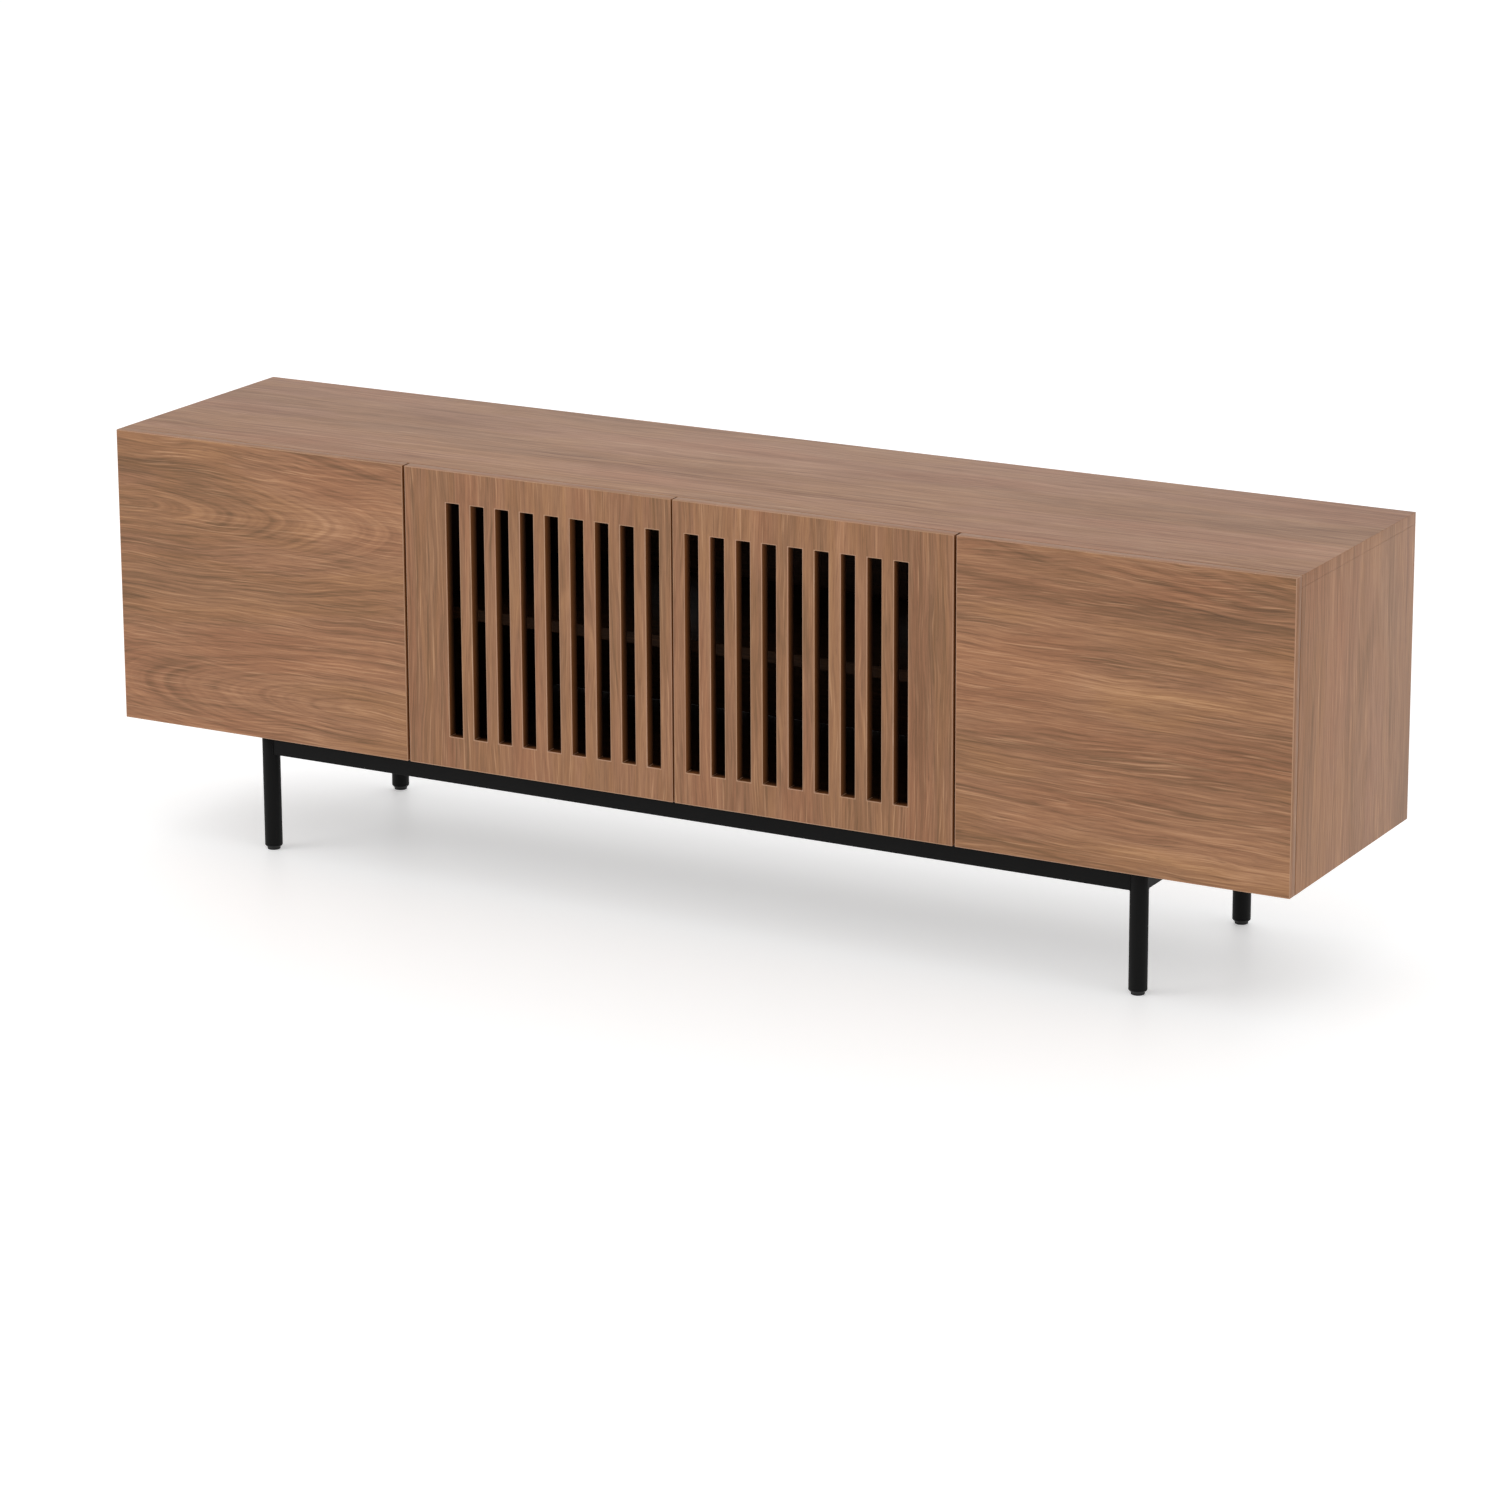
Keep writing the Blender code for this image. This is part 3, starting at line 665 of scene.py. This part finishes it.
def hinge_arm(node, side, nickel):
    """Cross plate with two screws, and the arm clipped on it with its two adjusting screws."""
    low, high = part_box(node)
    wall = high.x if side > 0 else low.x
    place = axes_at(Vector((wall, low.y, (low.z + high.z) / 2)), (0, 1, 0), (-side, 0, 0))
    base = pressing((18, -25, 0), (ARM_LENGTH, 25, MOUNTING_PLATE), 9, 0.4)
    hump = pressing((20, -10, MOUNTING_PLATE - 0.2), (ARM_LENGTH - 1, 10, 5.2), 3, 0.8)
    arm = block(Vector((0, -ARM_HALF_WIDTH, 3.2)) * MM,
                Vector((ARM_LENGTH, ARM_HALF_WIDTH, ARM_TOP)) * MM)
    # The arm's front end thins to a nose that reaches over the cup
    for vert in arm.verts:
        if vert.co.x < 1 * MM and vert.co.z < 8 * MM:
            vert.co.z += 3.5 * MM
    round_edges(arm, 1.6 * MM, 4, edges_along(arm, 0))
    round_edges(arm, 0.5 * MM, 2)
    slide = pressing((15, -3.4, ARM_TOP - 0.5), (52, 3.4, ARM_TOP + 0.3), 3.3, 0.25)
    screws = [moved(screw_head(3.0, 1.4), at(x, 0, ARM_TOP + 0.1)) for x in (21, 45)]
    screws += [moved(screw_head(4.0, 2.0), at(40, y, MOUNTING_PLATE - 0.1)) for y in (18.5, -18.5)]
    rivet = moved(turned([(0, 0), (1.8, 0), (1.8, 15), (0, 15)], 16),
                  at(4, 7.5, 10.2) @ LAID_ACROSS)
    shape = joined([base, hump, arm, slide, rivet, *screws])
    piece = new_piece(f"{node}_pressing", moved(shape, place), [nickel])
    stand_for(piece, node)


def make_hinges(nickel):
    """Two hinges a door, each a cup in the door and an arm on the wall beside it."""
    for side_name, side in SIDES:
        for kind in ("solid", "slatted"):
            for height in ("lower", "upper"):
                hinge_cup(f"hinge_cup_{kind}_{side_name}_{height}", side, nickel)
                hinge_arm(f"hinge_arm_{kind}_{side_name}_{height}", side, nickel)


# ---------------------------------------------------------------- latches and shelf pins

# Sizes in millimetres
PLUNGER_RADIUS = 3.5
PIN_RADIUS = 2.5
PIN_LENGTH = 9.0


def make_latches(grey, nickel):
    """Moulded latch bodies with two screws, and sprung plungers with a domed tip."""
    for side, _ in SIDES:
        for kind in ("solid", "slatted"):
            node = f"latch_body_{kind}_{side}"
            low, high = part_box(node)
            shape = node_shape(node)
            round_edges(shape, 1.2 * MM, 3, [edge for edge in edges_along(shape, 1)
                                             if edge.calc_length() > 50 * MM])
            stand_for(new_piece(f"{node}_moulding", shape, [grey]), node)
            under = Vector(((low.x + high.x) / 2, 0, low.z + 0.1 * MM))
            heads = []
            for y in (low.y + 20 * MM, high.y - 12 * MM):
                under.y = y
                heads.append(moved(screw_head(3.2, 1.6), axes_at(under, (1, 0, 0), (0, 0, -1))))
            fasten(new_piece(f"{node}_screws", joined(heads), [nickel]), CABINET)
            node = f"latch_plunger_{kind}_{side}"
            low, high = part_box(node)
            tip = Vector(((low.x + high.x) / 2, low.y, (low.z + high.z) / 2))
            length = (high.y - low.y) / MM
            groove = PLUNGER_RADIUS - 0.4
            outline = ([(0, 0)] + arc((PLUNGER_RADIUS - 1.5, 1.5), 1.5, -90, 0)
                       + [(PLUNGER_RADIUS, 6.0), (groove, 6.3), (groove, 7.0),
                          (PLUNGER_RADIUS, 7.3), (PLUNGER_RADIUS, length - 0.5),
                          (PLUNGER_RADIUS - 0.5, length), (0, length)])
            shape = moved(turned(outline, 32), axes_at(tip, (1, 0, 0), (0, 1, 0)))
            stand_for(new_piece(f"{node}_rod", shape, [nickel]), node)


def make_shelf_pins(nickel):
    """Turned pins with a groove near the wall and a bevelled tip."""
    for name in [node for node in frame["nodes"] if node.startswith("shelf_pin_")]:
        low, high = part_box(name)
        # A pin points from its wall into the bay: an outer one towards the cabinet's middle
        inward = 1 if ("_outer_" in name) == (low.x < 0) else -1
        wall = low.x if inward > 0 else high.x
        seat = Vector((wall, (low.y + high.y) / 2, (low.z + high.z) / 2))
        groove = PIN_RADIUS - 0.2
        outline = [(0, 0), (PIN_RADIUS, 0), (PIN_RADIUS, 1.2), (groove, 1.4), (groove, 1.7),
                   (PIN_RADIUS, 1.9), (PIN_RADIUS, PIN_LENGTH - 0.7),
                   (PIN_RADIUS - 0.6, PIN_LENGTH), (0, PIN_LENGTH)]
        shape = moved(turned(outline, 24), axes_at(seat, (0, 1, 0), (inward, 0, 0)))
        stand_for(new_piece(f"{name}_turned", shape, [nickel]), name)


# ---------------------------------------------------------------- steel frame

# Sizes in millimetres
TUBE_WALL = 2.0
TUBE_CORNER = 1.8
WELD_RIPPLE = 2.2
SOLE_RADIUS = 10.3
LIP_RADIUS = 14.0
PLUG_RADIUS = 11.5
PLUG_TOP = 23.8
TAB_HALF_WIDTH = 15
TAB_REACH = 24
TAB_THICKNESS = 2.5
# Where the tabs sit along the long rails, in metres
TAB_PLACES = (-0.60, -0.20, 0.20, 0.60)


def weld_bead(height):
    """An upright bead of weld with its ripples, centred on z = 0."""
    count = int(height / (WELD_RIPPLE / 4))
    outline = [(0, -height / 2)]
    for step in range(count + 1):
        outline.append((1.35 + 0.22 * math.cos(step * math.pi / 2),
                        -height / 2 + step * height / count))
    outline.append((0, height / 2))
    return turned(outline, 10)


def make_leg(name, black):
    """Round steel tube with its cut ends eased."""
    low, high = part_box(name)
    top = (high.z - low.z) / MM
    outer = (high.x - low.x) / 2 / MM
    inner = outer - TUBE_WALL
    outline = (arc((outer - 0.5, 0.5), 0.5, -90, 0, 2)
               + arc((outer - 0.5, top - 0.5), 0.5, 0, 90, 2) + [(inner, top), (inner, 0)])
    centre = Vector(((low.x + high.x) / 2, (low.y + high.y) / 2, low.z))
    shape = moved(turned(outline, 64, closed=True), Matrix.Translation(centre))
    stand_for(new_piece(f"{name}_tube", shape, [black]), name)


def make_rail(name, black):
    """Box section, coped to the legs, with the drawn tube's round corners."""
    low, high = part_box(name)
    along = 0 if high.x - low.x > high.y - low.y else 1
    shape = node_shape(name)
    corners = [edge for edge in edges_along(shape, along)
               if edge.calc_length() > 100 * MM and edge.calc_face_angle(0) > 1 and edge.is_convex]
    round_edges(shape, TUBE_CORNER * MM, 4, corners)
    stand_for(new_piece(f"{name}_tube", shape, [black]), name)


def make_glide(name, polyamide):
    """Tapered foot with a rounded sole, a lip under the tube and a plug inside it."""
    low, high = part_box(name)
    outline = ([(0, 0)] + arc((SOLE_RADIUS - 0.8, 0.8), 0.8, -90, 0) + [(SOLE_RADIUS, 3.2)]
               + arc((LIP_RADIUS - 0.6, 7.2), 0.6, -30, 90)
               + [(PLUG_RADIUS, 7.8), (PLUG_RADIUS, PLUG_TOP - 0.8),
                  (PLUG_RADIUS - 0.8, PLUG_TOP), (0, PLUG_TOP)])
    centre = Vector(((low.x + high.x) / 2, (low.y + high.y) / 2, 0))
    shape = moved(turned(outline, 64), Matrix.Translation(centre))
    stand_for(new_piece(f"{name}_moulding", shape, [polyamide]), name)


def make_frame(black, polyamide, nickel):
    """Legs, rails and glides, then the weld beads and the tabs that hold the floor panel."""
    for name in frame["nodes"]:
        if name.startswith("leg_"):
            make_leg(name, black)
        elif name.startswith("rail_"):
            make_rail(name, black)
        elif name.startswith("glide_"):
            make_glide(name, polyamide)
    make_welds(black)
    make_tabs(black, nickel)


def make_welds(black):
    """Beads where the rails meet the legs, one piece a leg."""
    for row, inward_y in (("front", 1), ("rear", -1)):
        for side_name, side in SIDES:
            low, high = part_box(f"leg_{row}_{side_name}")
            rail_low, rail_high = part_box(f"rail_{row}")
            centre = Vector(((low.x + high.x) / 2, (low.y + high.y) / 2,
                             (rail_low.z + rail_high.z) / 2))
            half = (rail_high.y - rail_low.y) / 2
            reach = math.sqrt(((high.x - low.x) / 2) ** 2 - half ** 2)
            height = (rail_high.z - rail_low.z) / MM - 1.0
            offsets = [(-side * reach, half), (-side * reach, -half),
                       (half, inward_y * reach), (-half, inward_y * reach)]
            beads = [moved(weld_bead(height), Matrix.Translation(centre + Vector((x, y, 0))))
                     for x, y in offsets]
            fasten(new_piece(f"weld_{row}_{side_name}", joined(beads), [black]), CABINET)


def make_tabs(black, nickel):
    """Tabs welded inside the long rails, each screwed up into the floor panel."""
    for row, inward in (("front", 1), ("rear", -1)):
        low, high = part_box(f"rail_{row}")
        edge = high.y if inward > 0 else low.y
        for index, x in enumerate(TAB_PLACES):
            near, far = sorted((edge - inward * 1 * MM, edge + inward * TAB_REACH * MM))
            tab = plate((x - TAB_HALF_WIDTH * MM, near, high.z - TAB_THICKNESS * MM),
                        (x + TAB_HALF_WIDTH * MM, far, high.z), 4 * MM, 0.4 * MM)
            fasten(new_piece(f"frame_tab_{row}_{index}", tab, [black]), CABINET)
            seat = Vector((x, edge + inward * 13 * MM, high.z - (TAB_THICKNESS - 0.1) * MM))
            head = moved(screw_head(4.5, 2.4), axes_at(seat, (1, 0, 0), (0, 0, -1)))
            fasten(new_piece(f"frame_screw_{row}_{index}", head, [nickel]), CABINET)


def make_back_screws(nickel):
    """Small screws that hold the back panel to the two partitions."""
    low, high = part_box("back_panel")
    heads = []
    for side in (-1, 1):
        wall = middle_of("partition_right").x * side
        for z in (low.z + 40 * MM, (low.z + high.z) / 2, high.z - 40 * MM):
            seat = Vector((wall, high.y - 0.1 * MM, z))
            heads.append(moved(screw_head(3.2, 1.2), axes_at(seat, (1, 0, 0), (0, 1, 0))))
    fasten(new_piece("back_panel_screws", joined(heads), [nickel]), CABINET)


# ---------------------------------------------------------------- camera, lights and floor

def look(azimuth, elevation, roll):
    """Rotation of a camera that looks down by elevation from azimuth degrees right of front."""
    a, e = math.radians(azimuth), math.radians(elevation)
    back = Vector((math.sin(a) * math.cos(e), -math.cos(a) * math.cos(e), math.sin(e)))
    turn = back.to_track_quat("Z", "Y")
    return turn @ Matrix.Rotation(math.radians(roll), 3, "Z").to_quaternion()


def make_camera():
    """A long lens, well to the right of the front and above the top."""
    data = bpy.data.cameras.new("camera")
    data.sensor_width = 36.0
    data.lens = 126.53
    data.shift_y = -0.1
    camera = bpy.data.objects.new("camera", data)
    camera.location = (3.760, -6.793, 2.484)
    camera.rotation_mode = "QUATERNION"
    camera.rotation_quaternion = look(28.895, 14.643, -0.238)
    bpy.context.scene.collection.objects.link(camera)
    bpy.context.scene.camera = camera


def softbox(name, place, aim, width, height, watts):
    """An area lamp of the given size in metres, turned towards a point."""
    data = bpy.data.lights.new(name, "AREA")
    data.shape = "RECTANGLE"
    data.size, data.size_y = width, height
    data.energy = watts
    lamp = bpy.data.objects.new(name, data)
    lamp.location = place
    lamp.rotation_mode = "QUATERNION"
    lamp.rotation_quaternion = (Vector(place) - Vector(aim)).to_track_quat("Z", "Y")
    bpy.context.scene.collection.objects.link(lamp)


def make_studio():
    """Soft white surroundings, three soft boxes and a pale floor."""
    world = bpy.data.worlds.new("studio")
    world.use_nodes = True
    background = world.node_tree.nodes["Background"]
    background.inputs["Color"].default_value = (1, 1, 1, 1)
    background.inputs["Strength"].default_value = 0.75
    bpy.context.scene.world = world
    softbox("key_left", (-4.6, -4.2, 3.0), (0, 0, 0.4), 3.5, 3.0, 80)
    softbox("fill_right", (6.0, -1.0, 2.2), (0, 0, 0.4), 3.0, 3.0, 34)
    softbox("back_top", (-1.0, 3.6, 4.2), (0, 0, 0.3), 4.0, 2.5, 25)
    material, _, shader = new_material("pale_studio_floor", "f5f5f5", 0.45)
    shader.inputs["Emission Color"].default_value = (1, 1, 1, 1)
    shader.inputs["Emission Strength"].default_value = 0.37
    shape = bmesh.new()
    bmesh.ops.create_circle(shape, cap_ends=True, segments=96, radius=40.0)
    new_piece("studio_floor", shape, [material])
    bpy.context.scene.view_settings.view_transform = "Standard"


make_camera()
make_studio()
EDGE_BANDS, INSIDE = make_carcass()
make_back(walnut("walnut_back", "x", "z", middle_of("back_panel"), 31.0, contrast=0.8), INSIDE)
make_doors(EDGE_BANDS)
NICKEL = nickel_plate()
make_hinges(NICKEL)
make_latches(moulded_polyamide("grey_polyamide", "8c8c8c"), NICKEL)
make_shelf_pins(NICKEL)
make_frame(powder_coat(), moulded_polyamide("black_polyamide", "0c0c0c"), NICKEL)
make_back_screws(NICKEL)
